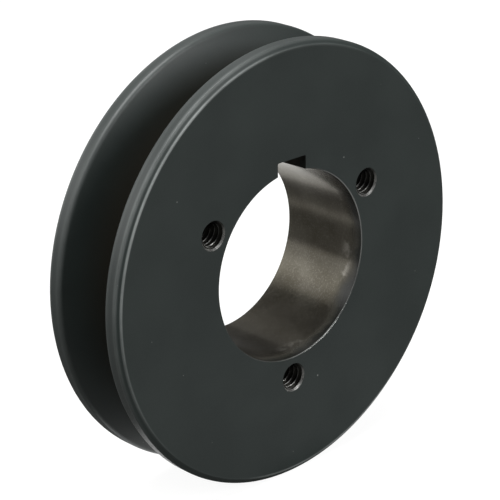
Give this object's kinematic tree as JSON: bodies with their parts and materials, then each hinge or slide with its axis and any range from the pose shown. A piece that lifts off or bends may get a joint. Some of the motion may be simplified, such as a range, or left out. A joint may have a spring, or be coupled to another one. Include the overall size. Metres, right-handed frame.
{
  "type": "v belt pulley",
  "caption": "V-belt pulley: a thick grooved disc with a keyed taper bore and tapped holes that pull it onto a bushing.",
  "frame": {"origin": "centre of the pulley, on its axis and midway between its two faces", "axes": "+Y along the axis towards the back face, front face (large end of the taper bore) towards -Y, +Z from the axis to the keyway"},
  "size_m": [0.0952, 0.0214, 0.0952],
  "materials": {
    "coated_iron": "machined cast iron with a dark grey-green phosphate coat, bore and threads bare"
  },
  "bodies": {
    "root": {"sheave": "coated_iron"}
  },
  "joints": []
}
